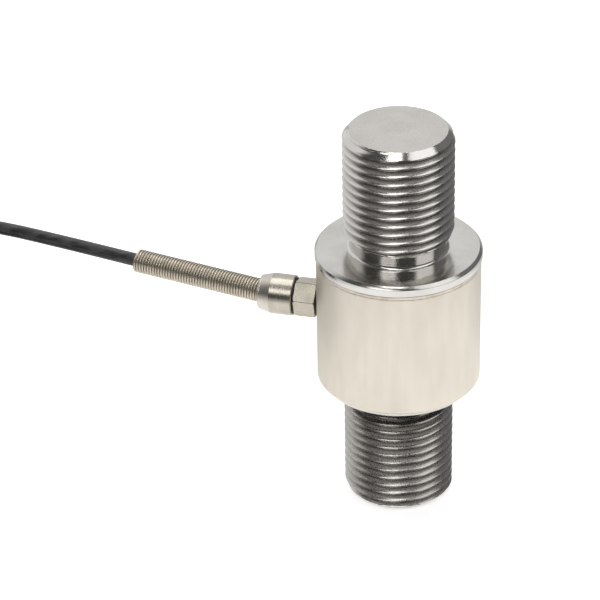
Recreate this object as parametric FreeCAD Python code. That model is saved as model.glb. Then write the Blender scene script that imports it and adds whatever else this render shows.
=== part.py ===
import FreeCAD, Part
import math
import os
from FreeCAD import Vector

# In-line tension and compression load cell with a threaded stud on each end.
# Frame: millimetres, +Z up along the load axis, origin at the centre of the lower stud's end face.
# The cable gland points along -X, and the cable lies on the plane z = 0 that the cell stands on.

# --- driving dimensions -------------------------------------------------------------------------
total_height = 89.7
stud_d = 24.0  # M24 x 2, over the crests
stud_chamfer = 1.5
neck_d = 20.9  # undercut behind each thread
neck_width = 4.4
neck_fillet = 0.7  # where the neck meets the flange's face

body_top = 61.5
sleeve_bottom = 29.6
flange_drop = 1.4  # how far the lower flange stands out of the sleeve
flange_chamfer = 0.3
rim_d = 36.2
rim_chamfer = 0.65
rim_height = 2.25  # from the sleeve's top edge to the flange's top face
rim_overhang = 0.25  # how far the rim stands out over the sleeve, radial
sleeve_wall = 1.25
weld_band_height = 0.9
weld_band_rise = 0.1
weld_line = 0.12  # half width and depth of the two lines beside the weld band

column_width = 12.0
column_fillet = 1.5
cavity_floor = 36.6
cavity_roof = 54.6

gland_z = 45.7
hex_flats = 7.6
hex_turn = 16.0  # degrees from +Z towards -Y to the hexagon's first corner
hex_gap = 0.2  # between the sleeve and the hexagon, filled by the seal washer
hex_length = 4.7
o_ring_width = 0.4
cap_d = 9.0
cap_barrel_length = 5.05
cap_nose_length = 2.8
cap_mouth_depth = 3.8  # from the cap's outer end to the end of the gland's nose
cap_nose_d = 7.7  # where the cone meets the rounding at its end
nose_thread_d = 6.0
spigot_d = 5.6
spot_face_d = 7.4

cable_d = 3.0
spring_d = 5.3
spring_wire_d = 0.6
spring_turns = 50
spring_pitch = 0.68
spring_turn_deg = 12.0  # how far the cable bends aside at the cap

hank_turns_across = 5
hank_layers = 4
hank_inner_r = 9.0
hank_straight = 2.0
hank_x = -130.0
hank_y = -9.0

# --- clearances ---------------------------------------------------------------------------------
flange_fit = 0.05  # inner flanges in the sleeve's bore, radial
bore_gap = 0.4  # gland bore round the cable, radial
grip_gap = 0.12  # grommet and spring washer round the cable, radial
thread_gap = 0.05  # cap bore round the nose thread, radial
spring_gap = 0.45  # cap nose round the spring, radial

# --- fits derived from them ---------------------------------------------------------------------
stud_r = stud_d / 2
sleeve_r = rim_d / 2 - rim_overhang
sleeve_bore_r = sleeve_r - sleeve_wall
inner_flange_r = sleeve_bore_r - flange_fit
sleeve_top = body_top - rim_height
body_bottom = sleeve_bottom - flange_drop  # the lower flange's bottom face
cable_r = cable_d / 2
column_half = column_width / 2
spot_face_depth = sleeve_r - math.sqrt(sleeve_r**2 - (spot_face_d / 2 * 0.8) ** 2)
spot_face = sleeve_r - spot_face_depth  # distance of the flat from the load axis
hex_inner = sleeve_r + hex_gap  # this and the next four are distances from the load axis, along -X
hex_outer = hex_inner + hex_length
cap_inner = hex_outer + o_ring_width
cap_cone = cap_inner + cap_barrel_length
cap_outer = cap_cone + cap_nose_length
nose_thread_r = nose_thread_d / 2
nose_end = cap_outer - cap_mouth_depth
socket_r = nose_thread_r - 0.65
socket_floor = hex_outer + 0.85
spring_r = spring_d / 2
spring_bore_r = spring_r - spring_wire_d
spigot_start = sleeve_bore_r - 1.2
cable_start = spigot_start - 0.6
washer_end = nose_end + 0.6
bend_x = (washer_end + cap_outer) / 2  # where the cable starts to turn aside, half way through the cap's nose

Y, Z = Vector(0, 1, 0), Vector(0, 0, 1)
origin = Vector(0, 0, 0)


# --- helpers ------------------------------------------------------------------------------------
def save(name, shape):
    """Write one sub-part as parts/NAME.step and print what it is."""
    shape = shape.removeSplitter() if shape.ShapeType == "Solid" else shape
    if not shape.isValid() or shape.Volume <= 0:
        raise ValueError(name + " is not a valid solid")
    shape.exportStep("parts/" + name + ".step")
    print(f"{name}: {len(shape.Solids)} solid(s), {shape.Volume:.2f} mm3")


def turned(profile):
    """Revolve a closed outline of (radius, height) points about the Z axis."""
    points = [Vector(r, 0, h) for r, h in profile]
    face = Part.Face(Part.makePolygon(points + points[:1]))
    return face.revolve(origin, Z, 360).Solids[0]


def radial(shape):
    """Lay a shape that was made along +Z along the gland's axis: its height becomes distance along -X."""
    laid = shape.copy()
    laid.rotate(origin, Y, -90)
    laid.translate(Vector(0, 0, gland_z))
    return laid


def turned_radially(profile):
    """Revolve (radius, distance from the load axis) points about the gland's axis."""
    return radial(turned(profile))


def prism(outline, depth, direction):
    """Extrude a closed outline of vectors."""
    return Part.Face(Part.makePolygon(outline + outline[:1])).extrude(direction * depth)


def rounded_path(points):
    """Straight runs joined by tangent arcs, each as large as its two runs allow; also gives the radii."""
    edges, radii, at = [], [], points[0]
    for before, corner, after in zip(points, points[1:], points[2:]):
        way_in, way_out = (corner - before).normalize(), (after - corner).normalize()
        half_turn = way_in.getAngle(way_out) / 2
        reach = 0.45 * min((corner - before).Length, (after - corner).Length)
        radius = reach / math.tan(half_turn)
        start, end = corner - way_in * reach, corner + way_out * reach
        inward = (way_out - way_in).normalize()
        middle = corner + inward * (radius / math.cos(half_turn) - radius)
        edges.append(Part.LineSegment(at, start).toShape())
        edges.append(Part.Arc(start, middle, end).toShape())
        radii.append(radius)
        at = end
    edges.append(Part.LineSegment(at, points[-1]).toShape())
    return Part.Wire(edges), radii


def tube(points, radius):
    """A round solid that follows the rounded path through the points."""
    path, radii = rounded_path(points)
    along = (points[1] - points[0]).normalize()
    section = Part.Wire(Part.makeCircle(radius, points[0], along))
    solid = path.makePipeShell([section], True, False)
    expected = math.pi * radius**2 * path.Length
    if abs(solid.Volume / expected - 1) > 0.01:
        raise ValueError("a tube's volume differs from its section times its length")
    return solid, path.Length, radii


def polar(radius, degrees, height=0.0):
    """A point at an angle about the Z axis."""
    angle = math.radians(degrees)
    return Vector(radius * math.cos(angle), radius * math.sin(angle), height)


# --- the cell -----------------------------------------------------------------------------------
def sensing_element():
    """One bar: lower stud, neck, lower flange, square gauge column, top flange with the rim, neck, upper stud."""
    neck_r = neck_d / 2
    slope = stud_r - neck_r
    lower = turned(
        [
            (0, 0),
            (stud_r - stud_chamfer, 0),
            (stud_r, stud_chamfer),
            (stud_r, body_bottom - neck_width),
            (neck_r, body_bottom - neck_width + slope),
            (neck_r, body_bottom),
            (inner_flange_r - flange_chamfer, body_bottom),
            (inner_flange_r, body_bottom + flange_chamfer),
            (inner_flange_r, cavity_floor),
            (0, cavity_floor),
        ]
    )
    upper = turned(
        [
            (0, cavity_roof),
            (inner_flange_r, cavity_roof),
            (inner_flange_r, sleeve_top),
            (rim_d / 2, sleeve_top),
            (rim_d / 2, body_top - rim_chamfer),
            (rim_d / 2 - rim_chamfer, body_top),
            (neck_r, body_top),
            (neck_r, body_top + neck_width - slope),
            (stud_r, body_top + neck_width),
            (stud_r, total_height - stud_chamfer),
            (stud_r - stud_chamfer, total_height),
            (0, total_height),
        ]
    )
    height = cavity_roof - cavity_floor
    column = Part.makeBox(column_width, column_width, height, Vector(-column_half, -column_half, cavity_floor))
    element = lower.fuse([column, upper]).Solids[0].removeSplitter()

    def edges_near(levels, reach):
        """The level edges at those heights that lie within a distance of the axis."""
        found = []
        for edge in element.Edges:
            box = edge.BoundBox
            at_level = box.ZLength < 0.001 and min(abs(box.ZMin - level) for level in levels) < 0.001
            if at_level and max(box.XMax, -box.XMin, box.YMax, -box.YMin) < reach:
                found.append(edge)
        return found

    element = element.makeFillet(column_fillet, edges_near((cavity_floor, cavity_roof), column_width))
    return element.makeFillet(neck_fillet, edges_near((body_bottom, body_top), neck_r + 0.001))


def outer_sleeve():
    """Thin tube welded to both flanges, with the raised weld band under the rim and the gland's spot face."""
    band_bottom = sleeve_top - weld_band_height
    band_r = sleeve_r + weld_band_rise
    sleeve = turned(
        [
            (sleeve_bore_r, sleeve_bottom),
            (sleeve_r - 0.3, sleeve_bottom),
            (sleeve_r, sleeve_bottom + 0.3),
            (sleeve_r, band_bottom - weld_line),
            (sleeve_r - weld_line, band_bottom),
            (band_r, band_bottom + weld_line),
            (band_r, sleeve_top - 2 * weld_line),
            (sleeve_r - weld_line, sleeve_top - weld_line),
            (band_r, sleeve_top),
            (sleeve_bore_r, sleeve_top),
        ]
    )
    spot = radial(Part.makeCylinder(spot_face_d / 2, 5, Vector(0, 0, spot_face)))
    hole = radial(Part.makeCylinder(spigot_d / 2, 10, Vector(0, 0, sleeve_bore_r - 5)))
    return sleeve.cut(spot.fuse(hole)).Solids[0]


gauge_thickness = 0.25
foil_thickness = 0.08
gauge_width = 5.0
gauge_height = 7.0
gauge_z = (cavity_floor + cavity_roof) / 2
tab_size = 1.4
tab_z = gauge_z - gauge_height / 2 + 0.6  # lower edge of the two solder tabs


def strain_gauge():
    """A foil gauge on its backing, on the column's -Y face: the backing with the raised measuring grid and two tabs."""
    base = Part.makeBox(
        gauge_width,
        gauge_thickness,
        gauge_height,
        Vector(-gauge_width / 2, -column_half - gauge_thickness, gauge_z - gauge_height / 2),
    )
    front = -column_half - gauge_thickness - foil_thickness
    grid = Part.makeBox(3.2, foil_thickness, 3.2, Vector(-1.6, front, gauge_z - 0.6))
    tabs = [Part.makeBox(tab_size, foil_thickness, tab_size, Vector(x, front, tab_z)) for x in (-2.0, 0.6)]
    return base.fuse([grid] + tabs).Solids[0]


board_bottom = cavity_floor + 1.4
board_top = board_bottom + 1.0
board_inner_r = column_half * math.sqrt(2) + 1.2
board_outer_r = sleeve_bore_r - 0.8


def ring(inner, outer, bottom, top):
    """A flat ring about the Z axis."""
    return turned([(inner, bottom), (outer, bottom), (outer, top), (inner, top)])


core_names = ("black", "green", "white", "screen", "red")  # round the cable, from the top towards the axis' far side
fan_order = ("green", "white", "black", "screen", "red")  # side by side where they are spread out
core_step = 8.0  # degrees between two cores' terminals


def core_place(name, radius):
    """Where a core lies in the cable's round section, as (aside, up)."""
    angle = math.radians(90 + 360 / len(core_names) * core_names.index(name))
    return radius * math.cos(angle), radius * math.sin(angle)


def fan_place(name):
    """A core's place in the fan, counted from the middle one."""
    return fan_order.index(name) - len(fan_order) // 2


def core_angle(name):
    """Where a core's terminal lies on the board, in degrees; the middle one is at the gland's side."""
    return 180 - core_step * fan_place(name)


terminal_ring_r = (board_inner_r + board_outer_r) / 2 + 0.4
terminal_height = 0.5
wire_ring_r = board_inner_r + 0.9
faces = {name: 90 * (k - 1) for k, name in enumerate(("front", "right", "back", "left"))}
wire_spread = 7.0  # degrees each side of a face's middle


def solder_terminals():
    """Pads for the five cable cores and for the two leads of each gauge, each facing the load axis."""
    places = [(terminal_ring_r, core_angle(name)) for name in core_names]
    for degrees in faces.values():
        places += [(wire_ring_r, degrees + side * wire_spread) for side in (-1, 1)]
    pads = []
    for radius, degrees in places:
        pad = Part.makeBox(1.2, 1.1, terminal_height, Vector(radius - 0.6, -0.55, board_top))
        pad.rotate(origin, Z, degrees)
        pads.append(pad)
    return Part.makeCompound(pads)


def trim_resistors():
    """Four chips with solder caps on the board, away from the gland."""
    chips = []
    for degrees in (-52, -28, 28, 52):
        chip = Part.makeBox(2.4, 1.3, 0.7, Vector(-1.2, -0.65, board_top))
        chip = chip.makeFillet(0.15, [edge for edge in chip.Edges if edge.BoundBox.ZLength > 0.5])
        chip.rotate(origin, Z, 90)
        chip.translate(Vector(terminal_ring_r, 0, 0))
        chip.rotate(origin, Z, degrees)
        chips.append(chip)
    return Part.makeCompound(chips)


def bridge_leads():
    """Eight flat leads, each a strip from a gauge's tab out and down to its pad."""
    leads = []
    strip = 0.1
    strip_width = 0.6
    out = column_half + gauge_thickness + foil_thickness
    tab_middle = tab_z + tab_size / 2
    pad_top = board_top + terminal_height
    for degrees in faces.values():
        for side in (-1, 1):
            y = wire_ring_r * math.sin(math.radians(wire_spread)) * side - strip_width / 2
            outline = [
                Vector(out, y, tab_middle + 0.4),
                Vector(out + strip, y, tab_middle + 0.4),
                Vector(out + strip, y, tab_middle - 0.2),
                Vector(wire_ring_r - 0.3, y, pad_top + strip),
                Vector(wire_ring_r + 0.3, y, pad_top + strip),
                Vector(wire_ring_r + 0.3, y, pad_top),
                Vector(wire_ring_r - 0.35, y, pad_top),
                Vector(out, y, tab_middle - 0.25),
            ]
            lead_strip = prism(outline, strip_width, Y)
            lead_strip.rotate(origin, Z, degrees)
            leads.append(lead_strip)
    return Part.makeCompound(leads)


# --- the gland ----------------------------------------------------------------------------------
def gland_body():
    """Spigot in the sleeve's hole, hexagon, and the nose with the socket for the grommet, bored for the cable."""
    bore_r = cable_r + bore_gap
    inner = turned(
        [
            (bore_r, spigot_start),
            (spigot_d / 2 - 0.3, spigot_start),
            (spigot_d / 2, spigot_start + 0.3),
            (spigot_d / 2, hex_inner),
            (bore_r, hex_inner),
        ]
    )
    nose = turned(
        [
            (bore_r, hex_outer),
            (nose_thread_r, hex_outer),
            (nose_thread_r, nose_end - 0.3),
            (nose_thread_r - 0.3, nose_end),
            (socket_r, nose_end),
            (socket_r, socket_floor),
            (bore_r, socket_floor),
        ]
    )
    corner_r = hex_flats / math.sqrt(3)
    corners = [polar(corner_r, 60 * k, hex_inner) for k in range(6)]
    hexagon = prism(corners, hex_outer - hex_inner, Z)
    bevel = 0.25
    across = turned(
        [
            (0, hex_inner),
            (corner_r - bevel, hex_inner),
            (corner_r, hex_inner + bevel),
            (corner_r, hex_outer - bevel),
            (corner_r - bevel, hex_outer),
            (0, hex_outer),
        ]
    )
    hexagon = hexagon.common(across).cut(Part.makeCylinder(bore_r, 10, Vector(0, 0, hex_inner - 2)))
    body = inner.fuse([hexagon, nose]).Solids[0]
    body.rotate(origin, Z, -hex_turn)
    return radial(body)


def gland_seal_washer():
    """Thin black washer in the spot face, under the hexagon."""
    return turned_radially(
        [
            (spigot_d / 2 + 0.05, spot_face),
            (spot_face_d / 2 - 0.1, spot_face),
            (spot_face_d / 2 - 0.1, hex_inner),
            (spigot_d / 2 + 0.05, hex_inner),
        ]
    )


def gland_o_ring():
    """Seal squeezed flat between the hexagon and the cap."""
    outer_r = cap_d / 2 - 0.45
    return turned_radially(
        [
            (nose_thread_r + 0.05, hex_outer),
            (outer_r - 0.1, hex_outer),
            (outer_r, hex_outer + 0.1),
            (outer_r, cap_inner - 0.1),
            (outer_r - 0.1, cap_inner),
            (nose_thread_r + 0.05, cap_inner),
        ]
    )


ferrule_start = nose_end - 1.0


def cable_grommet():
    """Rubber sleeve that seals on the cable, in the nose's socket."""
    return turned_radially(
        [
            (cable_r + grip_gap, socket_floor),
            (socket_r, socket_floor),
            (socket_r, ferrule_start),
            (cable_r + grip_gap, ferrule_start),
        ]
    )


def clamp_ferrule():
    """Ring that presses the grommet, with a collar over the nose's end."""
    return turned_radially(
        [
            (cable_r + 2 * grip_gap, ferrule_start),
            (socket_r, ferrule_start),
            (socket_r, nose_end),
            (nose_thread_r - 0.3, nose_end),
            (nose_thread_r - 0.3, nose_end + 0.3),
            (cable_r + 2 * grip_gap, nose_end + 0.3),
        ]
    )


def spring_washer():
    """Flat washer that the spring's inner end bears on."""
    return turned_radially(
        [
            (cable_r + bore_gap, nose_end + 0.3),
            (nose_thread_r, nose_end + 0.3),
            (nose_thread_r, washer_end),
            (cable_r + bore_gap, washer_end),
        ]
    )


def gland_cap():
    """Round cap: threaded bore, step for the washer, tapered nose with the opening for the spring."""
    bore_r = nose_thread_r + thread_gap
    mouth_r = spring_r + spring_gap
    nose_r = cap_nose_d / 2
    rounding = 0.45
    outline = [
        Vector(bore_r, 0, cap_inner),
        Vector(cap_d / 2 - 0.2, 0, cap_inner),
        Vector(cap_d / 2, 0, cap_inner + 0.2),
        Vector(cap_d / 2, 0, cap_cone),
        Vector(nose_r, 0, cap_outer - rounding),
    ]
    edges = [Part.LineSegment(a, b).toShape() for a, b in zip(outline, outline[1:])]
    corner = Vector(nose_r - 0.25 * rounding, 0, cap_outer - 0.25 * rounding)
    rest = [
        Vector(nose_r - rounding, 0, cap_outer),
        Vector(mouth_r, 0, cap_outer),
        Vector(mouth_r, 0, washer_end),
        Vector(bore_r, 0, washer_end),
        Vector(bore_r, 0, cap_inner),
    ]
    edges.append(Part.Arc(outline[-1], corner, rest[0]).toShape())
    edges += [Part.LineSegment(a, b).toShape() for a, b in zip(rest, rest[1:])]
    return radial(Part.Face(Part.Wire(edges)).revolve(origin, Z, 360).Solids[0])


def strain_relief_spring():
    """Close-coiled spring as a ribbed tube, one rib for each turn, along the cable's way out of the cap."""
    lean = math.radians(spring_turn_deg)
    start = (washer_end + spring_r * math.sin(lean) + 0.05 - bend_x) / math.cos(lean)
    valley_r = spring_r - spring_wire_d * 0.5
    profile = [(spring_bore_r, start), (spring_bore_r, start + spring_turns * spring_pitch)]
    for k in reversed(range(spring_turns)):
        low = start + k * spring_pitch
        profile += [(valley_r, low + spring_pitch), (spring_r, low + spring_pitch / 2)]
    profile.append((valley_r, start))
    spring = turned(profile)
    spring.rotate(origin, Y, -90)
    spring.rotate(origin, Z, -spring_turn_deg)
    spring.translate(Vector(-bend_x, 0, gland_z))
    return spring


# --- the cable ----------------------------------------------------------------------------------
lean_x = math.cos(math.radians(spring_turn_deg))
lean_y = math.sin(math.radians(spring_turn_deg))
spring_run = 30.0
spring_corner = Vector(-bend_x - spring_run * lean_x, spring_run * lean_y, gland_z)
hank_outer_r = hank_inner_r + (hank_turns_across - 1) * cable_d + cable_r
hank_height = hank_layers * cable_d
lane_x = hank_x - hank_outer_r + cable_r
entry_z = hank_height - cable_r
entry_y = hank_y + hank_straight / 2

cable_route = [
    Vector(-cable_start, 0, gland_z),
    Vector(-bend_x, 0, gland_z),
    spring_corner,
    spring_corner + Vector(-24.0, 6.3, -0.7),
    spring_corner + Vector(-43.5, 11.9, -2.0),
    Vector(-121.8, 22.0, gland_z - 6.3),
    Vector(-135.0, 20.2, gland_z - 12.9),
    Vector(-144.9, 12.4, gland_z - 21.0),
    Vector(lane_x + 0.1, entry_y + 7.6, gland_z - 29.0),
    Vector(lane_x + 0.7, entry_y - 4.5, entry_z - 0.4),
    Vector(lane_x + 2.2, entry_y - 13.5, entry_z - 1.0),
]


def racetrack(radius, bottom, height):
    """A solid with two straight sides and two half-round ends, its long way along Y."""
    half = hank_straight / 2
    block = Part.makeBox(2 * radius, 2 * half, height, Vector(hank_x - radius, hank_y - half, bottom))
    ends = [Part.makeCylinder(radius, height, Vector(hank_x, hank_y + side * half, bottom)) for side in (-1, 1)]
    return block.fuse(ends).removeSplitter()


tie_width = 2.6
tie_thickness = 0.9


def tie_loop(side):
    """The strap round one straight side of the hank, as (loop, head)."""
    inner_x = hank_x + side * (hank_inner_r - cable_r)
    outer_x = hank_x + side * hank_outer_r
    low_x, high_x = min(inner_x, outer_x), max(inner_x, outer_x)
    y = hank_y - tie_width / 2
    outside = Part.makeBox(
        high_x - low_x + 2 * tie_thickness,
        tie_width,
        hank_height,
        Vector(low_x - tie_thickness, y, 0),
    )
    inside = Part.makeBox(
        high_x - low_x,
        tie_width,
        hank_height - 2 * tie_thickness,
        Vector(low_x, y, tie_thickness),
    )
    head = Part.makeBox(4.4, 4.6, 3.2, Vector((low_x + high_x) / 2 - 2.2, hank_y - 2.3, hank_height - 0.3))
    return outside.cut(inside), head


def cable_tie(side):
    """A cable tie with its head on top."""
    loop, head = tie_loop(side)
    return loop.fuse(head).removeSplitter().Solids[0]


def cable_hank():
    """The put-away length as a flat hank, pinched where the ties go round it."""
    outer = racetrack(hank_outer_r, 0, hank_height)
    hank = outer.cut(racetrack(hank_inner_r - cable_r, -1, hank_height + 2)).removeSplitter()
    for side in (-1, 1):
        hank = hank.cut(cable_tie(side))
    return hank.Solids[0]


tail_length = 14.5
shrink_length = 8.0
shrink_wall = 0.25
shrink_grip = 2.0  # how far the sleeve reaches over the cable's end
lead_length = 8.0
tail_x = hank_x + hank_outer_r - cable_r
tail_y = hank_y + hank_straight / 2
tail_z = cable_r + shrink_wall


def tail_piece(radius, start, length):
    """A round piece on the tail's line, beside the hank's end."""
    return Part.makeCylinder(radius, length, Vector(tail_x, tail_y + start, tail_z), Y)


def heat_shrink():
    """Sleeve shrunk over the cable's end and filled round the cores."""
    start = tail_length - shrink_grip
    return tail_piece(cable_r + shrink_wall, start, shrink_length).cut(tail_piece(cable_r, start, shrink_grip))


lead_r = 0.4
lead_fan = 1.3  # sideways step between the leads' tips


def lead(name):
    """One stripped core of the free end: out of the heat-shrink sleeve, then fanned out along the floor."""
    fan = fan_place(name) * lead_fan
    y = tail_y + tail_length - shrink_grip + shrink_length
    side, up = core_place(name, cable_r - lead_r - 0.38)
    points = [
        Vector(tail_x + side, y, tail_z + up),
        Vector(tail_x + side, y + 3.5, tail_z + up),
        Vector(tail_x + side + fan, y + lead_length, lead_r + 0.1),
    ]
    return tube(points, lead_r)[0]


def core(name):
    """One core inside the cell, from the cable's end over and down to its terminal."""
    core_r = 0.3
    side, up = core_place(name, cable_r - core_r - 0.58)
    end = polar(terminal_ring_r, core_angle(name), board_top + terminal_height + core_r / 2)
    points = [
        Vector(-cable_start, side, gland_z + up),
        Vector(-cable_start + 1.7 + 0.5 * up, side, gland_z + up),
        end,
    ]
    return tube(points, core_r)[0]


def main():
    os.makedirs("parts", exist_ok=True)
    save("sensing_element", sensing_element())
    save("outer_sleeve", outer_sleeve())
    for face, degrees in faces.items():
        gauge = strain_gauge()
        gauge.rotate(origin, Z, degrees + 90)
        save("strain_gauge_" + face, gauge)
    spacer_r = board_inner_r + 1.0
    save("board_spacer", ring(spacer_r, spacer_r + 2.0, cavity_floor, board_bottom))
    save("terminal_board", ring(board_inner_r, board_outer_r, board_bottom, board_top))
    save("solder_terminals", solder_terminals())
    save("trim_resistors", trim_resistors())
    save("bridge_leads", bridge_leads())

    save("gland_body", gland_body())
    save("gland_seal_washer", gland_seal_washer())
    save("gland_o_ring", gland_o_ring())
    save("cable_grommet", cable_grommet())
    save("clamp_ferrule", clamp_ferrule())
    save("spring_washer", spring_washer())
    save("gland_cap", gland_cap())
    save("strain_relief_spring", strain_relief_spring())

    hank = cable_hank()
    run, run_length, radii = tube(cable_route, cable_r)
    print("cable run", round(run_length, 1), "mm, arc radii", [round(r, 1) for r in radii])
    turn_length = 2 * hank_straight + 2 * math.pi * (hank_inner_r + (hank_turns_across - 1) * cable_d / 2)
    wound = turn_length * hank_turns_across * hank_layers
    print("hank", round(wound, 1), "mm of cable, whole cable", round(run_length + wound + tail_length, 1), "mm")
    outer = racetrack(hank_outer_r, 0, hank_height)
    save("cable_run", run.cut(outer).Solids[0])
    save("cable_hank", hank)
    save("cable_tie_near", cable_tie(1))
    save("cable_tie_far", cable_tie(-1))
    save("cable_tail", tail_piece(cable_r, 0, tail_length).cut(hank).Solids[0])
    save("heat_shrink", heat_shrink())
    for name in core_names:
        save("core_" + name, core(name))
        save("lead_" + name, lead(name))


main()
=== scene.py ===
import bmesh
import bpy
import numpy as np
from math import cos, pi, radians, sin
from mathutils import Matrix


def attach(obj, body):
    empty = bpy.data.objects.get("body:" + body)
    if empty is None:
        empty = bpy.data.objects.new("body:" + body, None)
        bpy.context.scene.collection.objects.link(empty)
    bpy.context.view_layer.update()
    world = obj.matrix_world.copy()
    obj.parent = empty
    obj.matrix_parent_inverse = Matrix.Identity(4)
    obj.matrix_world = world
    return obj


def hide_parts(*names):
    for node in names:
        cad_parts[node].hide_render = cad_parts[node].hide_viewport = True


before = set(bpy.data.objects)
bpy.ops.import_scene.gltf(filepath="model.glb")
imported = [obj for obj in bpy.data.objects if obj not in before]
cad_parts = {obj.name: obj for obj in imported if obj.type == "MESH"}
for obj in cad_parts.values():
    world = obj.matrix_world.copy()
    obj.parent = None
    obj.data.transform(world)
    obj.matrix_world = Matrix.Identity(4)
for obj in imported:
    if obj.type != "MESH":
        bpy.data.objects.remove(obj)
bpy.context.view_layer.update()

scene = bpy.context.scene
scene.view_settings.view_transform = "Standard"
MM = 0.001


# --- Camera ---------------------------------------------------------------------------------------
# It stands in front of the cell, turned a little to the gland's side, and looks down at it through a
# long lens. The cell's axis is right of the middle, so the camera is also turned and tipped a little.
view_from = radians(13.0)
camera_at = (-0.43 * MM, -571.49 * MM, 394.32 * MM)
look_down = radians(31.219)
look_left = radians(2.101)
tip = radians(-1.1065)
focal_length = 184.74
sensor_width = 36.0

camera_data = bpy.data.cameras.new("camera")
camera_data.lens = focal_length
camera_data.sensor_width = sensor_width
camera_data.clip_start = 0.01
camera = bpy.data.objects.new("camera", camera_data)
scene.collection.objects.link(camera)
scene.camera = camera
camera.matrix_world = (
    Matrix.Rotation(view_from, 4, "Z")
    @ Matrix.Translation(camera_at)
    @ Matrix.Rotation(look_left, 4, "Z")
    @ Matrix.Rotation(pi / 2 - look_down, 4, "X")
    @ Matrix.Rotation(tip, 4, "Z")
)


# --- Floor and light ------------------------------------------------------------------------------
# A white table and backdrop in a darker room. Two soft boxes stand left and right of the camera and two
# hang overhead, so bright metal shows white below and behind it, and dark in between. The light that the
# metal takes from the floor comes from a pool round the cell, which fades over pool_edge.
floor_half = 3.0
floor_glow = 0.55
pool_middle = (0.035, -0.06, 0)
pool_edge = (0.1, 0.17)
room_dark = 0.07
room_bright = 0.9
lamp_target = (0, 0, 0.045)


def node(tree, kind, links=None, **values):
    """Add a node. links maps its input sockets to output sockets or numbers, values sets its fields."""
    made = tree.nodes.new("ShaderNode" + kind)
    for key, value in values.items():
        setattr(made, key, value)
    for socket, source in (links or {}).items():
        if isinstance(source, bpy.types.NodeSocket):
            tree.links.new(source, made.inputs[socket])
        else:
            made.inputs[socket].default_value = source
    return made


def maths(tree, operation, first, second):
    """The sum, product or larger one of two values, held between 0 and 1."""
    return node(tree, "Math", {0: first, 1: second}, operation=operation, use_clamp=True).outputs[0]


def spread(tree, value, low, high, start=0.3, end=0.7):
    """Map a value between start and end smoothly to between low and high."""
    links = {"Value": value, "From Min": start, "From Max": end, "To Min": low, "To Max": high}
    return node(tree, "MapRange", links, interpolation_type="SMOOTHSTEP").outputs["Result"]


def shader(name):
    """A new node material: the material, its tree and its Principled shader."""
    material = bpy.data.materials.new(name)
    material.use_nodes = True
    tree = material.node_tree
    return material, tree, tree.nodes["Principled BSDF"]


floor_mesh = bpy.data.meshes.new("floor")
floor_corners = [(x * floor_half, y * floor_half, 0) for x, y in ((-1, -1), (1, -1), (1, 1), (-1, 1))]
floor_mesh.from_pydata(floor_corners, [], [(0, 1, 2, 3)])
floor = bpy.data.objects.new("floor", floor_mesh)
scene.collection.objects.link(floor)
table_top, tree, bsdf = shader("table_top")
bsdf.inputs["Roughness"].default_value = 0.9
bsdf.inputs["Emission Color"].default_value = (1, 1, 1, 1)
where = node(tree, "TexCoord").outputs["Object"]
distance = node(tree, "VectorMath", {0: where, 1: pool_middle}, operation="DISTANCE").outputs["Value"]
# Painted pool of light: the floor's colour, and its glow seen in metal, are brighter round the cell and
# fade over pool_edge.
pool = spread(tree, distance, 1, 0.5, *pool_edge)
tree.links.new(spread(tree, pool, 0, 0.9, 0, 1), bsdf.inputs["Base Color"])
ray = node(tree, "LightPath").outputs
mirrored = maths(tree, "ADD", ray["Is Glossy Ray"], ray["Is Transmission Ray"])
in_metal = maths(tree, "MULTIPLY", mirrored, maths(tree, "MULTIPLY", pool, floor_glow))
to_camera = maths(tree, "MULTIPLY", ray["Is Camera Ray"], spread(tree, pool, 1, floor_glow, 0.5, 1))
tree.links.new(maths(tree, "ADD", in_metal, to_camera), bsdf.inputs["Emission Strength"])
floor_mesh.materials.append(table_top)

room = bpy.data.worlds.new("room")
scene.world = room
room.use_nodes = True
tree = room.node_tree
outward = node(tree, "TexCoord").outputs["Generated"]


def toward(x, y, z):
    """How far a ray's direction points along an axis given from the camera's side: right, away and up."""
    axis = (x * cos(view_from) - y * sin(view_from), x * sin(view_from) + y * cos(view_from), z)
    return node(tree, "VectorMath", {0: outward, 1: axis}, operation="DOT_PRODUCT").outputs["Value"]


behind = spread(tree, toward(0, 1, 0), 0, 1, -0.2, 0.35)
not_right = spread(tree, toward(1, 0, 0), 1, 0.25, 0.1, 0.5)
below_ceiling = spread(tree, toward(0, 0, 1), 1, 0, 0.72, 0.93)
backdrop = maths(tree, "MULTIPLY", maths(tree, "MULTIPLY", behind, not_right), below_ceiling)
background = tree.nodes["Background"]
background.inputs["Color"].default_value = (1, 1, 1, 1)
ray = node(tree, "LightPath").outputs
lit = maths(tree, "MAXIMUM", spread(tree, backdrop, room_dark, room_bright, 0, 1), ray["Is Camera Ray"])
tree.links.new(lit, background.inputs["Strength"])


def soft_box(name, azimuth, elevation, width, height, power, distance=1.2):
    """An area lamp that faces the cell. Azimuth and elevation are in degrees from the camera's side, width
    and height in metres and power in watts."""
    data = bpy.data.lights.new(name, "AREA")
    data.shape = "RECTANGLE"
    data.size = width
    data.size_y = height
    data.energy = power
    lamp = bpy.data.objects.new(name, data)
    scene.collection.objects.link(lamp)
    turn = Matrix.Rotation(view_from + radians(azimuth), 4, "Z")
    aim = turn @ Matrix.Rotation(pi / 2 - radians(elevation), 4, "X")
    lamp.matrix_world = Matrix.Translation(lamp_target) @ aim @ Matrix.Translation((0, 0, distance))


soft_box("left_window", -24, 43, 0.62, 0.5, 2.15)
soft_box("right_window", 66, 44, 0.9, 0.95, 3.3)
soft_box("front_box", -12, 70, 0.42, 0.4, 1.5)
soft_box("overhead_box", 180, 74, 0.9, 0.87, 5.2)


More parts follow.
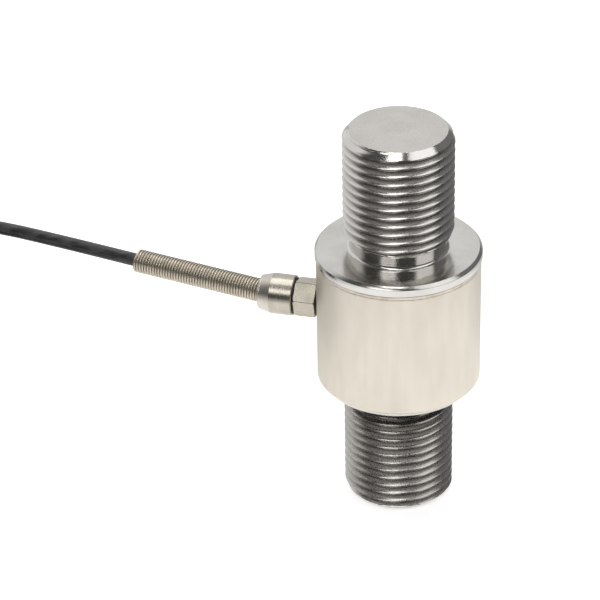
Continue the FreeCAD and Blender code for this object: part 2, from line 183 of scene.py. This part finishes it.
# --- Sensing element ------------------------------------------------------------------------------
# One bar of stainless steel: two studs with a rolled M24 x 2 thread, undercut necks, the rim over the
# sleeve and the gauge column inside. It is turned in a lathe, and its end faces are faced off last.
stud_r = 12.0 * MM
neck_r = 10.45 * MM
neck_width = 4.4 * MM
neck_fillet = 0.7 * MM
stud_chamfer = 1.5 * MM
total_height = 89.7 * MM
body_top = 61.5 * MM
body_bottom = 28.2 * MM
rim_r = 18.1 * MM
rim_chamfer = 0.65 * MM
inner_flange_r = 16.55 * MM
flange_chamfer = 0.3 * MM
sleeve_top = 59.25 * MM
column_half = 6.0 * MM
cavity_floor = 36.6 * MM
cavity_roof = 54.6 * MM
thread_pitch = 2.0 * MM
thread_depth = 0.6134 * thread_pitch
thread_sharpness = 0.93
upper_groove_z = 85.5 * MM
lower_groove_z = 17.9 * MM
root_shade_depth = 0.95 * MM
crest_depth = 0.05 * MM
edge_softness = 0.06 * MM
merge_gap = 0.002 * MM
neck_slope = stud_r - neck_r
face_r = stud_r - stud_chamfer
rim_top_r = rim_r - rim_chamfer
cell_middle = total_height / 2
column_middle = (cavity_floor + cavity_roof) / 2
front = view_from - pi / 2
# Distances from the cell's middle over which the painted shade in the thread's roots fades in and out
# again.
thread_from = (body_top - cell_middle + 3.6 * MM, body_top - cell_middle + 4.1 * MM)
thread_to = (cell_middle - 1.5 * MM, cell_middle - 1.2 * MM)


def stud_surface(low, high, neck_at_top, groove_z, groove_angle, around=256, steps=20):
    """Points of a threaded stud between two heights. Over one pitch the depth is a rounded triangle wave,
    (1 + arcsin(k cos 2 pi s) / arcsin k) / 2, where k sets how sharp the crest and root are. It is laid
    along a helix, so each row of points climbs by one pitch a turn, and a root passes the groove's height
    at the groove's angle. The radius is the smaller of the thread's and that of a plain envelope with a
    chamfer at the free end, a sloped undercut and a fillet at the flange."""
    turns = int(np.ceil((high - low) / thread_pitch)) + 5
    share = np.arange(turns * steps) / steps
    wave = np.arcsin(thread_sharpness * np.cos(2 * pi * share)) / np.arcsin(thread_sharpness)
    depths = (1 + wave) / 2
    rows = (share - 2) * thread_pitch
    angle = np.linspace(0, 2 * pi, around + 1)
    start = groove_z - np.ceil((groove_z - low) / thread_pitch) * thread_pitch
    z = start + rows[:, None] + thread_pitch * (angle - groove_angle)[None, :] / (2 * pi)
    r = np.broadcast_to(stud_r - thread_depth * depths[:, None], z.shape)
    z = np.clip(z, low, high)
    free, neck = (z - low, high - z) if neck_at_top else (high - z, z - low)
    envelope = np.minimum(stud_r - stud_chamfer + free, stud_r)
    slope = neck - (neck_width - neck_slope)
    envelope = np.minimum(envelope, np.maximum(neck_r, neck_r + slope))
    r = np.where(slope <= 0, neck_r, np.minimum(r, envelope))
    above = np.clip(neck_fillet - neck, 0, neck_fillet)
    r = np.where(neck < neck_fillet, neck_r + neck_fillet - np.sqrt(neck_fillet**2 - above**2), r)
    return np.stack([r * np.cos(angle), r * np.sin(angle), z], axis=-1)


def lathe(profile, around=224):
    """Turn a list of (radius, height) points about the axis: x = r cos a, y = r sin a."""
    r, z = np.array(profile).T
    angle = np.linspace(0, 2 * pi, around + 1)
    ones = np.ones_like(angle)
    return np.stack([np.outer(r, np.cos(angle)), np.outer(r, np.sin(angle)), np.outer(z, ones)], axis=-1)


def softened(profile, radius, steps=3):
    """Round each corner b of a profile by the curve (1 - t)^2 a + 2 t (1 - t) b + t^2 c, between points a
    and c that lie on its two sides at the radius from it, or at a third of the shorter side."""
    points = np.array(profile, float)
    made = [points[0]]
    for a, b, c in zip(points, points[1:], points[2:]):
        reach = min(radius, np.linalg.norm(a - b) / 3, np.linalg.norm(c - b) / 3)
        before = b + (a - b) / np.linalg.norm(a - b) * reach
        after = b + (c - b) / np.linalg.norm(c - b) * reach
        t = np.linspace(0, 1, steps + 1)[:, None]
        made.extend((1 - t) ** 2 * before + 2 * t * (1 - t) * b + t**2 * after)
    made.append(points[-1])
    return np.array(made)


def sheet_faces(rows, columns, first=0):
    """Quads of a grid of points, counted from a first index."""
    i, j = np.meshgrid(np.arange(rows - 1), np.arange(columns - 1), indexing="ij")
    a = (first + i * columns + j).ravel()
    return np.stack([a, a + 1, a + columns + 1, a + columns], axis=-1)


def solid_piece(name, grids, sharp_from=30.0):
    """Make one mesh object from (grid of points, material) pairs. Coincident points are merged and the
    faces turned outwards; the piece rides the body and takes its finish from the slot."""
    verts, faces, numbers, first = [], [], [], 0
    mesh = bpy.data.meshes.new(name)
    for grid, material in grids:
        if material.name not in mesh.materials:
            mesh.materials.append(material)
        rows, columns = grid.shape[:2]
        verts.append(grid.reshape(-1, 3))
        faces.append(sheet_faces(rows, columns, first))
        numbers.append(np.full(len(faces[-1]), mesh.materials.find(material.name)))
        first += rows * columns
    mesh.from_pydata(np.concatenate(verts).tolist(), [], np.concatenate(faces).tolist())
    mesh.polygons.foreach_set("material_index", np.concatenate(numbers).astype(np.int32))
    shape = bmesh.new()
    shape.from_mesh(mesh)
    bmesh.ops.remove_doubles(shape, verts=shape.verts, dist=merge_gap)
    bmesh.ops.dissolve_degenerate(shape, edges=shape.edges, dist=merge_gap)
    bmesh.ops.recalc_face_normals(shape, faces=shape.faces)
    shape.to_mesh(mesh)
    shape.free()
    mesh.shade_smooth()
    mesh.set_sharp_from_angle(angle=radians(sharp_from))
    made = bpy.data.objects.new(name, mesh)
    scene.collection.objects.link(made)
    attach(made, "root")
    return made


def noise(tree, scale, stretch=(1, 1, 1), detail=3.0, where=None):
    """Noise on Object coordinates, in metres, drawn out along an axis where its stretch is small."""
    where = where or node(tree, "TexCoord").outputs["Object"]
    placed = node(tree, "Mapping", {"Vector": where, "Scale": stretch}).outputs["Vector"]
    return node(tree, "TexNoise", {"Vector": placed, "Scale": scale, "Detail": detail}).outputs["Fac"]


def blend_colours(tree, factor, first, second):
    """Mix two colours by a factor."""
    mixed = node(tree, "Mix", {"Factor": factor}, data_type="RGBA")
    mixed.inputs["A"].default_value = (*first, 1)
    mixed.inputs["B"].default_value = (*second, 1)
    return mixed.outputs["Result"]


def bump(tree, bsdf, height, distance):
    """Raise the surface by a height value, in metres."""
    raised = node(tree, "Bump", {"Height": height, "Distance": distance})
    tree.links.new(raised.outputs["Normal"], bsdf.inputs["Normal"])


def turned_steel(
    name, colour, dull, rough, grain, anisotropy=0.0, root_shade=None, groove_from=thread_from
):
    """Turned stainless steel: rings of fine tool marks round the axis, faint stains, and the streaks of
    light that they give, from anisotropy along the direction of the cut. Along the thread the colour
    is darkened from the crest toward the root, by the distance from the axis: painted shade in the grooves."""
    material, tree, bsdf = shader(name)
    where = node(tree, "TexCoord").outputs["Object"]
    parts = node(tree, "SeparateXYZ", {"Vector": where})
    flat = node(tree, "CombineXYZ", {"X": parts.outputs["X"], "Y": parts.outputs["Y"]}).outputs["Vector"]
    radius = node(tree, "VectorMath", {0: flat}, operation="LENGTH").outputs["Value"]
    ring = node(tree, "CombineXYZ", {"X": radius, "Y": parts.outputs["Z"]}).outputs["Vector"]
    marks = noise(tree, 5200.0, where=ring)
    pits = noise(tree, 2600.0, detail=2.0)
    marks = maths(tree, "MULTIPLY", marks, spread(tree, pits, 0.6, 1, 0.35, 0.55))
    stains = noise(tree, 150.0, detail=5.0)
    steel = blend_colours(tree, spread(tree, stains, 0, 1), colour, dull)
    gloss = spread(tree, marks, rough * 0.8, rough * 1.25)
    # Painted shade: toward the thread's root the colour is mixed into a darker tone.
    if root_shade:
        middle = node(tree, "CombineXYZ", {"Z": parts.outputs["Z"]}).outputs["Vector"]
        away = node(tree, "VectorMath", {0: middle, 1: (0, 0, cell_middle)}, operation="DISTANCE")
        away = away.outputs["Value"]
        begun = spread(tree, away, 0, 1, *groove_from)
        threaded = maths(tree, "MULTIPLY", begun, spread(tree, away, 1, 0, *thread_to))
        toward_root = spread(tree, radius, 1, 0, stud_r - root_shade_depth, stud_r - crest_depth)
        root_shaded = node(tree, "Mix", {"Factor": maths(tree, "MULTIPLY", toward_root, threaded)}, data_type="RGBA")
        tree.links.new(steel, root_shaded.inputs["A"])
        root_shaded.inputs["B"].default_value = (*root_shade, 1)
        steel = root_shaded.outputs["Result"]
        gloss = maths(tree, "MULTIPLY", gloss, spread(tree, threaded, 0.6, 1, 0, 1))
    tree.links.new(steel, bsdf.inputs["Base Color"])
    tree.links.new(gloss, bsdf.inputs["Roughness"])
    bsdf.inputs["Metallic"].default_value = 1.0
    bsdf.inputs["Anisotropic"].default_value = anisotropy
    tangent = node(tree, "Tangent", direction_type="RADIAL", axis="Z").outputs["Tangent"]
    tree.links.new(tangent, bsdf.inputs["Tangent"])
    bump(tree, bsdf, marks, grain)
    return material


faced_steel = turned_steel(
    "faced_steel", (0.61, 0.59, 0.56), (0.555, 0.535, 0.505), rough=0.33, grain=0.0005 * MM
)
flange_steel = turned_steel(
    "flange_steel", (0.66, 0.645, 0.615), (0.58, 0.565, 0.535), rough=0.16, grain=0.006 * MM, anisotropy=0.7
)
thread_steel = turned_steel(
    "thread_steel",
    (0.72, 0.705, 0.68),
    (0.64, 0.62, 0.595),
    rough=0.24,
    grain=0.008 * MM,
    root_shade=(0.38, 0.365, 0.34),
)
# The lower stud takes a darker, rougher copy of the thread steel. Its painted root shade starts at the
# cell's middle, so it also paints shade over the undercut neck under the flange.
darker_lower_thread = turned_steel(
    "darker_lower_thread",
    (0.58, 0.56, 0.535),
    (0.49, 0.47, 0.45),
    rough=0.28,
    grain=0.0015 * MM,
    root_shade=(0.34, 0.325, 0.305),
    groove_from=(0.0, 0.001 * MM),
)
# Near-black steel for the lower flange's underside: painted shade under the flange.
painted_shade_steel = turned_steel(
    "painted_shade_steel", (0.035, 0.032, 0.03), (0.025, 0.023, 0.021), rough=0.5, grain=0.004 * MM
)

upper_stud = stud_surface(body_top, total_height, False, upper_groove_z, front)
lower_stud = stud_surface(0.0, body_bottom, True, lower_groove_z, front)
top_face = lathe([(face_r, total_height), (0, total_height)])
bottom_face = lathe([(0, 0), (face_r, 0)])
flange_top = lathe([(neck_r + neck_fillet, body_top), (rim_top_r - edge_softness, body_top)])
flange_outline = [
    (rim_top_r - edge_softness, body_top),
    (rim_top_r, body_top),
    (rim_r, body_top - rim_chamfer),
    (rim_r, sleeve_top),
    (inner_flange_r, sleeve_top),
    (inner_flange_r, cavity_roof),
    (column_half, cavity_roof),
    (column_half, column_middle),
]
lower_outline = [
    (column_half, column_middle),
    (column_half, cavity_floor),
    (inner_flange_r, cavity_floor),
    (inner_flange_r, body_bottom + flange_chamfer),
    (inner_flange_r - flange_chamfer, body_bottom),
]
# The lower flange's underside takes the near-black painted shade.
flange_bottom = lathe([lower_outline[-1], (neck_r + neck_fillet, body_bottom)])
rim = lathe(softened(flange_outline, edge_softness))
lower_flange = lathe(softened(lower_outline, edge_softness))
element_upper = solid_piece(
    "element_upper",
    [(upper_stud, thread_steel), (top_face, faced_steel), (flange_top, flange_steel), (rim, flange_steel)],
)
element_lower = solid_piece(
    "element_lower",
    [
        (lower_stud, darker_lower_thread),
        (bottom_face, faced_steel),
        (flange_bottom, painted_shade_steel),
        (lower_flange, flange_steel),
    ],
)
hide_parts("sensing_element")
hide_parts("sensing_element")


# --- Strain gauges and terminal board -------------------------------------------------------------
# Sealed inside the sleeve: four foil gauges glued to the column, flat copper leads down to a ring of
# green laminate with tinned pads and chip resistors, and the five cores of the cable.
def finish_nodes(material, *names):
    """Give pieces that keep their modelled shape a finish."""
    for name in names:
        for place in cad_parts[name].material_slots:
            place.material = material


def plain_finish(name, colour, second, rough, scale=900.0, metallic=0.0, grain=0.02 * MM):
    """A moulded, coated or plated finish: two close colours in small patches, with a fine skin."""
    material, tree, bsdf = shader(name)
    patches = noise(tree, scale, detail=4.0)
    mixed = blend_colours(tree, spread(tree, patches, 0, 1), colour, second)
    tree.links.new(mixed, bsdf.inputs["Base Color"])
    tree.links.new(spread(tree, patches, rough * 0.85, rough * 1.15), bsdf.inputs["Roughness"])
    bsdf.inputs["Metallic"].default_value = metallic
    bump(tree, bsdf, noise(tree, 6 * scale, detail=2.0), grain)
    return material


gauges = ["strain_gauge_" + side for side in ("front", "right", "back", "left")]
gauge_film = plain_finish("gauge_film", (0.62, 0.35, 0.1), (0.5, 0.25, 0.06), 0.35)
spacer_plastic = plain_finish("spacer_plastic", (0.75, 0.73, 0.66), (0.68, 0.66, 0.58), 0.5)
board_laminate = plain_finish("board_laminate", (0.03, 0.22, 0.09), (0.02, 0.16, 0.06), 0.3)
resistor_ceramic = plain_finish("resistor_ceramic", (0.04, 0.04, 0.05), (0.08, 0.08, 0.09), 0.4)
tinned_metal = plain_finish("tinned_metal", (0.72, 0.72, 0.71), (0.62, 0.62, 0.6), 0.25, metallic=1.0)
copper_strip = plain_finish("copper_strip", (0.85, 0.45, 0.25), (0.7, 0.32, 0.16), 0.3, metallic=1.0)
finish_nodes(gauge_film, *gauges)
finish_nodes(spacer_plastic, "board_spacer")
finish_nodes(board_laminate, "terminal_board")
finish_nodes(resistor_ceramic, "trim_resistors")
finish_nodes(tinned_metal, "solder_terminals")
finish_nodes(copper_strip, "bridge_leads")



# --- Outer sleeve ---------------------------------------------------------------------------------
# Thin stainless tube round the column, welded to both flanges, with a raised weld band under the rim
# and a flat spot for the gland. It is linished to a warm satin finish, with brown heat tint at the weld.
tint_from = 57.6 * MM
tint_full = 58.6 * MM
sleeve_steel, tree, bsdf = shader("sleeve_steel")
streaks = noise(tree, 700.0, (1, 1, 0.12), 4.0)
clouds = noise(tree, 95.0, (1, 1, 0.6), 3.0)
satin = blend_colours(tree, spread(tree, clouds, 0, 1), (0.775, 0.72, 0.63), (0.72, 0.665, 0.58))
where = node(tree, "TexCoord").outputs["Object"]
height = node(tree, "SeparateXYZ", {"Vector": where}).outputs["Z"]
beside_weld = spread(tree, height, 0, 0.45, tint_from, tint_full)
patchy = spread(tree, noise(tree, 500.0), 0, 1, 0.35, 0.7)
heat_tint = maths(tree, "MULTIPLY", beside_weld, patchy)
tinted = node(tree, "Mix", {"Factor": heat_tint}, data_type="RGBA")
tree.links.new(satin, tinted.inputs["A"])
tinted.inputs["B"].default_value = (0.42, 0.34, 0.25, 1)
tree.links.new(tinted.outputs["Result"], bsdf.inputs["Base Color"])
tree.links.new(spread(tree, streaks, 0.45, 0.5), bsdf.inputs["Roughness"])
bsdf.inputs["Metallic"].default_value = 1.0
bump(tree, bsdf, noise(tree, 3000.0, (1, 1, 0.2), 2.0), 0.005 * MM)
finish_nodes(sleeve_steel, "outer_sleeve")


# --- Cable gland ----------------------------------------------------------------------------------
# Nickel-plated body with a hexagon, a thin black washer under it and an O-ring behind the cap. Inside,
# a rubber grommet, a brass ferrule and a washer grip the cable.
gland_z = 45.7 * MM
hex_turn = radians(16.0)
# Colour of the painted shade lines along the hexagon's corners.
corner_shade = (0.2, 0.18, 0.14)
gland_steel = plain_finish(
    "gland_steel",
    (0.49, 0.45, 0.375),
    (0.45, 0.41, 0.34),
    0.3,
    scale=500.0,
    metallic=1.0,
    grain=0.005 * MM,
)
black_rubber = plain_finish("black_rubber", (0.012, 0.012, 0.012), (0.025, 0.025, 0.025), 0.6)
ferrule_brass = plain_finish("ferrule_brass", (0.75, 0.58, 0.3), (0.65, 0.48, 0.22), 0.3, metallic=1.0)
finish_nodes(gland_steel, "spring_washer")
finish_nodes(black_rubber, "gland_seal_washer", "gland_o_ring", "cable_grommet")
finish_nodes(ferrule_brass, "clamp_ferrule")

# Thin dark lines of painted shade run along the hexagon's corners. The turn about the gland's axis is
# counted in sixths of a turn from the first corner, so a corner lies wherever that count is a whole number.
hexagon_steel = gland_steel.copy()
tree = hexagon_steel.node_tree
bsdf = tree.nodes["Principled BSDF"]
plated = bsdf.inputs["Base Color"].links[0].from_socket
where = node(tree, "TexCoord").outputs["Object"]
parts = node(tree, "SeparateXYZ", {"Vector": where})
up = node(tree, "Math", {0: parts.outputs["Z"], 1: gland_z}, operation="SUBTRACT").outputs[0]
turned = node(tree, "Math", {0: up, 1: parts.outputs["Y"]}, operation="ARCTAN2").outputs[0]
sixths = node(tree, "Math", {0: turned, 1: -pi / 2 - hex_turn}, operation="ADD").outputs[0]
sixths = node(tree, "Math", {0: sixths, 1: 3 / pi}, operation="MULTIPLY").outputs[0]
past = node(tree, "Math", {0: sixths, 1: 0.5}, operation="PINGPONG").outputs[0]
corner_shaded = node(tree, "Mix", {"Factor": spread(tree, past, 0.85, 0, 0.012, 0.035)}, data_type="RGBA")
tree.links.new(plated, corner_shaded.inputs["A"])
corner_shaded.inputs["B"].default_value = (*corner_shade, 1)
tree.links.new(corner_shaded.outputs["Result"], bsdf.inputs["Base Color"])
finish_nodes(hexagon_steel, "gland_body")


# --- Gland cap ------------------------------------------------------------------------------------
# Turned and nickel-plated: polished round its cylinder, satin on the tapered nose. It screws over the
# gland's nose and holds the spring's inner end.
cap_cone = 28.2 * MM
nose_edge = 0.05 * MM
cap_plating, tree, bsdf = shader("cap_plating")
where = node(tree, "TexCoord").outputs["Object"]
parts = node(tree, "SeparateXYZ", {"Vector": where})
on_nose = spread(tree, parts.outputs["X"], 1, 0, -cap_cone - nose_edge, -cap_cone + nose_edge)
marks = noise(tree, 4000.0, (1, 0.08, 0.08))
stains = noise(tree, 350.0, detail=5.0)
polished = blend_colours(tree, spread(tree, stains, 0, 1), (0.515, 0.48, 0.415), (0.45, 0.415, 0.35))
satin = blend_colours(tree, spread(tree, stains, 0, 1), (0.7, 0.66, 0.59), (0.6, 0.56, 0.49))
plated = node(tree, "Mix", {"Factor": on_nose}, data_type="RGBA")
tree.links.new(polished, plated.inputs["A"])
tree.links.new(satin, plated.inputs["B"])
tree.links.new(plated.outputs["Result"], bsdf.inputs["Base Color"])
gloss = spread(tree, on_nose, 0.22, 0.32, 0, 1)
tree.links.new(maths(tree, "ADD", gloss, spread(tree, marks, 0, 0.06)), bsdf.inputs["Roughness"])
bsdf.inputs["Metallic"].default_value = 1.0
bump(tree, bsdf, marks, 0.01 * MM)
finish_nodes(cap_plating, "gland_cap")


# --- Strain relief spring -------------------------------------------------------------------------
# Close-coiled spring of bright drawn wire. Its inner end bears on the washer in the cap, the cable
# runs through it, and it leans aside with the cable from half way through the cap's nose.
bend_x = -29.4 * MM
washer_x = -27.8 * MM
spring_lean = radians(12.0)
spring_r = 2.65 * MM
spring_turns = 50
spring_pitch = 0.68 * MM
wire_r = 0.33 * MM
spring_play = 0.05 * MM


def wound_wire(around=26, section=10):
    """A round wire on a helix along +X: the middle of the wire is at (pitch t, R cos 2 pi t, R sin 2 pi t),
    and a circle of the wire's radius is drawn round it from the radial direction and the X axis. The
    first and last turns lie close, so the pitch there falls to the wire's diameter."""
    t = np.linspace(0, spring_turns - 1, (spring_turns - 1) * around + 1)[:, None]
    middle_r = spring_r - wire_r
    closed = np.clip(np.minimum(t, t[-1] - t), 0, 1)
    x = wire_r + spring_pitch * t - (spring_pitch - 2 * wire_r) * np.sign(t - t[-1] / 2) * (1 - closed)
    turn = 2 * pi * t
    ring = np.linspace(0, 2 * pi, section + 1)[None, :]
    r = middle_r + wire_r * np.cos(ring)
    grid = np.stack([x + wire_r * np.sin(ring), r * np.cos(turn), r * np.sin(turn)], axis=-1)
    ends = [np.broadcast_to(grid[i].mean(axis=0), (1, section + 1, 3)) for i in (0, -1)]
    return np.concatenate([ends[0], grid, ends[1]])


def along_lean(points):
    """Lay points made along +X on the spring's line, out of the washer and leaning to +Y."""
    start = (bend_x - washer_x + spring_r * sin(spring_lean) + spring_play) / cos(spring_lean)
    x, y, z = np.moveaxis(points, -1, 0)
    x = x + start
    outward_x = bend_x - x * cos(spring_lean) + y * sin(spring_lean)
    aside_y = x * sin(spring_lean) + y * cos(spring_lean)
    return np.stack([outward_x, aside_y, gland_z + z], axis=-1)


spring_steel = plain_finish(
    "spring_steel", (0.58, 0.525, 0.435), (0.5, 0.45, 0.37), 0.36, scale=700.0, metallic=1.0
)
spring = solid_piece("spring", [(along_lean(wound_wire()), spring_steel)], 60.0)
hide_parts("strain_relief_spring")


# --- Cable ----------------------------------------------------------------------------------------
# A thin screened instrument cable with a dark grey jacket. It leaves the gland level, bends a little
# aside in the spring, sinks to the floor past the end of the view and is wound there into a tied hank.
cable_r = 1.5 * MM
leaning_length = 30.0 * MM
leaning = np.array([-cos(spring_lean), sin(spring_lean), 0.0])
spring_corner = np.array([bend_x, 0.0, gland_z]) + leaning_length * leaning
hank_middle = np.array([-130.0, -9.0]) * MM
hank_straight = 2.0 * MM
hank_inner_r = 9.0 * MM
hank_lanes = 5
hank_layers = 4
step_from = 0.66
points_a_turn = 16
hank_outer_r = hank_inner_r + (hank_lanes - 1) * 2 * cable_r
lane_x = hank_middle[0] - hank_outer_r
entry_y = hank_middle[1] + hank_straight / 2
top_z = (2 * hank_layers - 1) * cable_r

# Out of the gland, through the leaning spring, on past the view, and down to the hank's outer top lane.
cable_route = [
    (-15.0 * MM, 0.0, gland_z),
    (bend_x, 0.0, gland_z),
    tuple(spring_corner),
    tuple(spring_corner + np.array([-24.0, 6.3, -0.7]) * MM),
    tuple(spring_corner + np.array([-43.5, 11.9, -2.0]) * MM),
    (-121.8 * MM, 22.0 * MM, gland_z - 6.3 * MM),
    (-135.0 * MM, 20.2 * MM, gland_z - 12.9 * MM),
    (-144.9 * MM, 12.4 * MM, gland_z - 21.0 * MM),
    (lane_x + 0.1 * MM, entry_y + 7.6 * MM, gland_z - 29.0 * MM),
]


def wind(turn):
    """Centre of the wound cable after so many turns. One turn goes down the far straight, round the near
    end, up the inner straight and round the other end. The lane steps in or out by one diameter a turn,
    and each full set of lanes drops by one diameter; both steps are made on the last bend of the turn, as
    s^2 (3 - 2 s) of the way from step_from to the turn's end."""
    whole = np.floor(turn)
    part = turn - whole
    last_bend = np.clip((part - step_from) / (1 - step_from), 0, 1)
    step = last_bend**2 * (3 - 2 * last_bend)

    def lane(n):
        layer, place = np.divmod(n, hank_lanes)
        return np.where(layer % 2 == 0, place, hank_lanes - 1 - place), np.minimum(layer, hank_layers - 1)

    (lane_a, layer_a), (lane_b, layer_b) = lane(whole), lane(whole + 1)
    radius = hank_outer_r - 2 * cable_r * (lane_a + (lane_b - lane_a) * step)
    height = top_z - 2 * cable_r * (layer_a + (layer_b - layer_a) * step)
    bend = pi * radius
    along = part * (2 * bend + 2 * hank_straight)
    half = hank_straight / 2
    first = along < hank_straight
    second = along < hank_straight + bend
    third = along < 2 * hank_straight + bend
    near = (along - hank_straight) / radius
    far = (along - 2 * hank_straight - bend) / radius
    x = np.select([first, second, third], [-radius, -radius * np.cos(near), radius], radius * np.cos(far))
    y = np.select(
        [first, second, third],
        [half - along, -half - radius * np.sin(near), along - 1.5 * hank_straight - bend],
        half + radius * np.sin(far),
    )
    return np.stack([hank_middle[0] + x, hank_middle[1] + y, height], axis=-1)


# The winding stops a little short at both ends, where the route leads in and the tail leads out.
wound = wind(np.arange(0.03, hank_lanes * hank_layers - 0.53, 1 / points_a_turn))
tail_length = 14.5 * MM
shrink_grip = 2.0 * MM
shrink_wall = 0.25 * MM
tail_x = hank_middle[0] + hank_outer_r
tail_z = cable_r + shrink_wall
tail_end = entry_y + tail_length - shrink_grip
tail = [
    (tail_x, entry_y - 1.0 * MM, cable_r),
    (tail_x, entry_y + 6.0 * MM, tail_z),
    (tail_x, tail_end, tail_z),
]

cable_jacket, tree, bsdf = shader("cable_jacket")
patches = noise(tree, 900.0, (0.2, 1, 1), 4.0)
jacket_tone = blend_colours(tree, spread(tree, patches, 0, 1), (0.026, 0.026, 0.027), (0.075, 0.074, 0.073))
tree.links.new(jacket_tone, bsdf.inputs["Base Color"])
tree.links.new(spread(tree, patches, 0.34, 0.46), bsdf.inputs["Roughness"])
bump(tree, bsdf, noise(tree, 2600.0, detail=2.0), 0.03 * MM)

points = np.array(cable_route + [tuple(p) for p in wound] + tail)
cable_curve = bpy.data.curves.new("cable", "CURVE")
cable_curve.dimensions = "3D"
spline = cable_curve.splines.new("NURBS")
spline.points.add(len(points) - 1)
spline.points.foreach_set("co", np.column_stack([points, np.ones(len(points))]).ravel())
spline.order_u = 3
spline.use_endpoint_u = True
spline.resolution_u = 4
cable_curve.bevel_depth = cable_r
cable_curve.bevel_resolution = 5
cable_curve.use_fill_caps = True
cable_curve.materials.append(cable_jacket)
cable = bpy.data.objects.new("cable", cable_curve)
scene.collection.objects.link(cable)
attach(cable, "root")
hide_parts("cable_run", "cable_hank", "cable_tail")


# --- Cable ties and free end ----------------------------------------------------------------------
# Two black nylon ties hold the hank. The cable ends in a black heat-shrink sleeve, out of which come
# four coloured cores and the drain wire, stripped and tinned at their tips.
tie_plastic = plain_finish("tie_plastic", (0.015, 0.015, 0.016), (0.03, 0.03, 0.031), 0.4)
shrink_plastic = plain_finish("shrink_plastic", (0.012, 0.012, 0.013), (0.022, 0.022, 0.023), 0.5)
finish_nodes(tie_plastic, "cable_tie_near", "cable_tie_far")
finish_nodes(shrink_plastic, "heat_shrink")
shrink_past_tail = 6.0 * MM
insulation_past_shrink = 5.2 * MM
stripped_y = entry_y + tail_length + shrink_past_tail + insulation_past_shrink
stripped_edge = 0.05 * MM
bare_strands = (0.72, 0.71, 0.69)


def core_finish(name, colour):
    """Coloured insulation that ends where the tinned strands come out of it."""
    material, tree, bsdf = shader(name)
    where = node(tree, "TexCoord").outputs["Object"]
    parts = node(tree, "SeparateXYZ", {"Vector": where})
    bare = spread(tree, parts.outputs["Y"], 0, 1, stripped_y - stripped_edge, stripped_y + stripped_edge)
    tree.links.new(blend_colours(tree, bare, colour, bare_strands), bsdf.inputs["Base Color"])
    tree.links.new(bare, bsdf.inputs["Metallic"])
    strands = noise(tree, 3000.0, (1, 0.15, 1))
    tree.links.new(spread(tree, strands, 0.28, 0.42), bsdf.inputs["Roughness"])
    bump(tree, bsdf, strands, 0.03 * MM)
    return material


cores = {
    "red": (0.55, 0.02, 0.02),
    "black": (0.02, 0.02, 0.02),
    "green": (0.02, 0.3, 0.08),
    "white": (0.8, 0.8, 0.78),
    "screen": bare_strands,
}
for colour_name, colour in cores.items():
    finish = core_finish(colour_name + "_insulation", colour)
    finish_nodes(finish, "core_" + colour_name, "lead_" + colour_name)

on_cable = [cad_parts["lead_" + name] for name in cores]
on_cable += [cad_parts[name] for name in ("heat_shrink", "cable_tie_near", "cable_tie_far")]
on_cable.append(spring)
